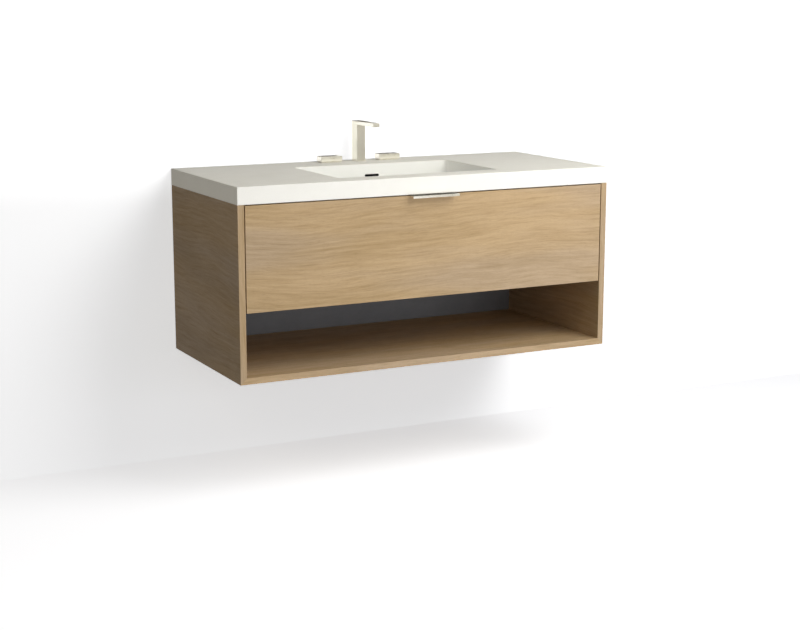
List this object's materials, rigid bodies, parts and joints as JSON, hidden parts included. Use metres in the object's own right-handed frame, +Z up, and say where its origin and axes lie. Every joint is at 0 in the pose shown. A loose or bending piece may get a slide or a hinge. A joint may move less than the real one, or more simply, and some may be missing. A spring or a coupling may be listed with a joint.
{
  "type": "floating bathroom vanity",
  "caption": "Wall-hung bathroom vanity: white top with built-in basin and widespread faucet, deep oak drawer with a plumbing notch, and an open shelf below.",
  "frame": {"origin": "middle of the four wall-fixing holes, on the plane of the wall", "axes": "+Y into the wall, so the front faces -Y; +X to the right along the width; +Z up"},
  "size_m": [1.2192, 0.5701, 0.6857],
  "materials": {
    "cast_top": "satin white solid surface",
    "oak": "light oak veneer, matt lacquer",
    "birch": "birch plywood, clear lacquer",
    "grey_laminate": "mid-grey matt laminate",
    "nickel": "light warm satin nickel",
    "zinc_steel": "zinc-plated steel",
    "brass": "bare brass",
    "rubber": "black rubber",
    "black_plastic": "moulded black plastic",
    "clear_bumper": "soft clear plastic"
  },
  "bodies": {
    "cabinet": {"countertop": "cast_top", "basin": "cast_top", "edge_strips": "cast_top", "left_side_panel": "oak", "right_side_panel": "oak", "bottom_panel": "oak", "divider_panel": "oak", "niche_back_panel": "grey_laminate", "front_stretcher": "birch", "upper_back_rail": "birch", "lower_back_rail": "birch", "corner_blocks": "birch", "carcass_dowels": "birch", "overflow_duct": "black_plastic", "drain_flange": "nickel", "drain_gasket": "rubber", "drain_lock_nut": "zinc_steel", "drain_tailpiece": "nickel", "spout_body": "nickel", "spout_plinth": "nickel", "spout_aerator": "zinc_steel", "spout_shank": "brass", "spout_lock_nut": "brass", "faucet_washers": "rubber", "hot_valve_body": "brass", "cold_valve_body": "brass", "valve_lock_nuts": "brass", "handle_plates": "nickel", "left_slide_cabinet_member": "zinc_steel", "right_slide_cabinet_member": "zinc_steel", "cabinet_slide_screws": "zinc_steel", "drawer_bumpers": "clear_bumper"},
    "drawer": {"drawer_front": "oak", "drawer_pull": "nickel", "pull_screws": "nickel", "drawer_inner_front": "birch", "drawer_side_left": "birch", "drawer_side_right": "birch", "drawer_backs": "birch", "drawer_notch_sides": "birch", "drawer_notch_front": "birch", "drawer_bottom": "birch", "drawer_front_screws": "zinc_steel", "left_slide_drawer_member": "zinc_steel", "right_slide_drawer_member": "zinc_steel", "drawer_slide_screws": "zinc_steel"},
    "left_slide_middle": {"left_slide_middle_member": "zinc_steel"},
    "right_slide_middle": {"right_slide_middle_member": "zinc_steel"},
    "left_outer_cage": {"left_outer_ball_cage": "zinc_steel"},
    "right_outer_cage": {"right_outer_ball_cage": "zinc_steel"},
    "left_inner_cage": {"left_inner_ball_cage": "zinc_steel"},
    "right_inner_cage": {"right_inner_ball_cage": "zinc_steel"},
    "hot_handle_assembly": {"hot_handle": "nickel", "hot_valve_stem": "brass", "hot_handle_set_screw": "zinc_steel"},
    "cold_handle_assembly": {"cold_handle": "nickel", "cold_valve_stem": "brass", "cold_handle_set_screw": "zinc_steel"},
    "stopper": {"drain_stopper": "nickel", "stopper_seal": "rubber"}
  },
  "joints": [
    {"name": "drawer_slide", "type": "slide", "parent": "cabinet", "child": "drawer", "axis": [0, -1, 0], "range_m": [0, 0.44]},
    {"name": "left_middle_slide", "type": "slide", "parent": "cabinet", "child": "left_slide_middle", "axis": [0, -1, 0], "range_m": [0, 0.22]},
    {"name": "right_middle_slide", "type": "slide", "parent": "cabinet", "child": "right_slide_middle", "axis": [0, -1, 0], "range_m": [0, 0.22]},
    {"name": "left_outer_cage_roll", "type": "slide", "parent": "cabinet", "child": "left_outer_cage", "axis": [0, -1, 0], "range_m": [0, 0.11]},
    {"name": "right_outer_cage_roll", "type": "slide", "parent": "cabinet", "child": "right_outer_cage", "axis": [0, -1, 0], "range_m": [0, 0.11]},
    {"name": "left_inner_cage_roll", "type": "slide", "parent": "cabinet", "child": "left_inner_cage", "axis": [0, -1, 0], "range_m": [0, 0.33]},
    {"name": "right_inner_cage_roll", "type": "slide", "parent": "cabinet", "child": "right_inner_cage", "axis": [0, -1, 0], "range_m": [0, 0.33]},
    {"name": "hot_handle_turn", "type": "hinge", "parent": "cabinet", "child": "hot_handle_assembly", "pos_m": [-0.1016, -0.047, 0.2], "axis": [0, 0, 1], "range_deg": [0, 90]},
    {"name": "cold_handle_turn", "type": "hinge", "parent": "cabinet", "child": "cold_handle_assembly", "pos_m": [0.1016, -0.047, 0.2], "axis": [0, 0, -1], "range_deg": [0, 90]},
    {"name": "stopper_lift", "type": "slide", "parent": "cabinet", "child": "stopper", "axis": [0, 0, 1], "range_m": [0, 0.008]}
  ],
  "couplings": [
    {"joint": "left_middle_slide", "follows": "drawer_slide", "ratio": 0.5},
    {"joint": "right_middle_slide", "follows": "drawer_slide", "ratio": 0.5},
    {"joint": "left_outer_cage_roll", "follows": "drawer_slide", "ratio": 0.25},
    {"joint": "right_outer_cage_roll", "follows": "drawer_slide", "ratio": 0.25},
    {"joint": "left_inner_cage_roll", "follows": "drawer_slide", "ratio": 0.75},
    {"joint": "right_inner_cage_roll", "follows": "drawer_slide", "ratio": 0.75}
  ]
}
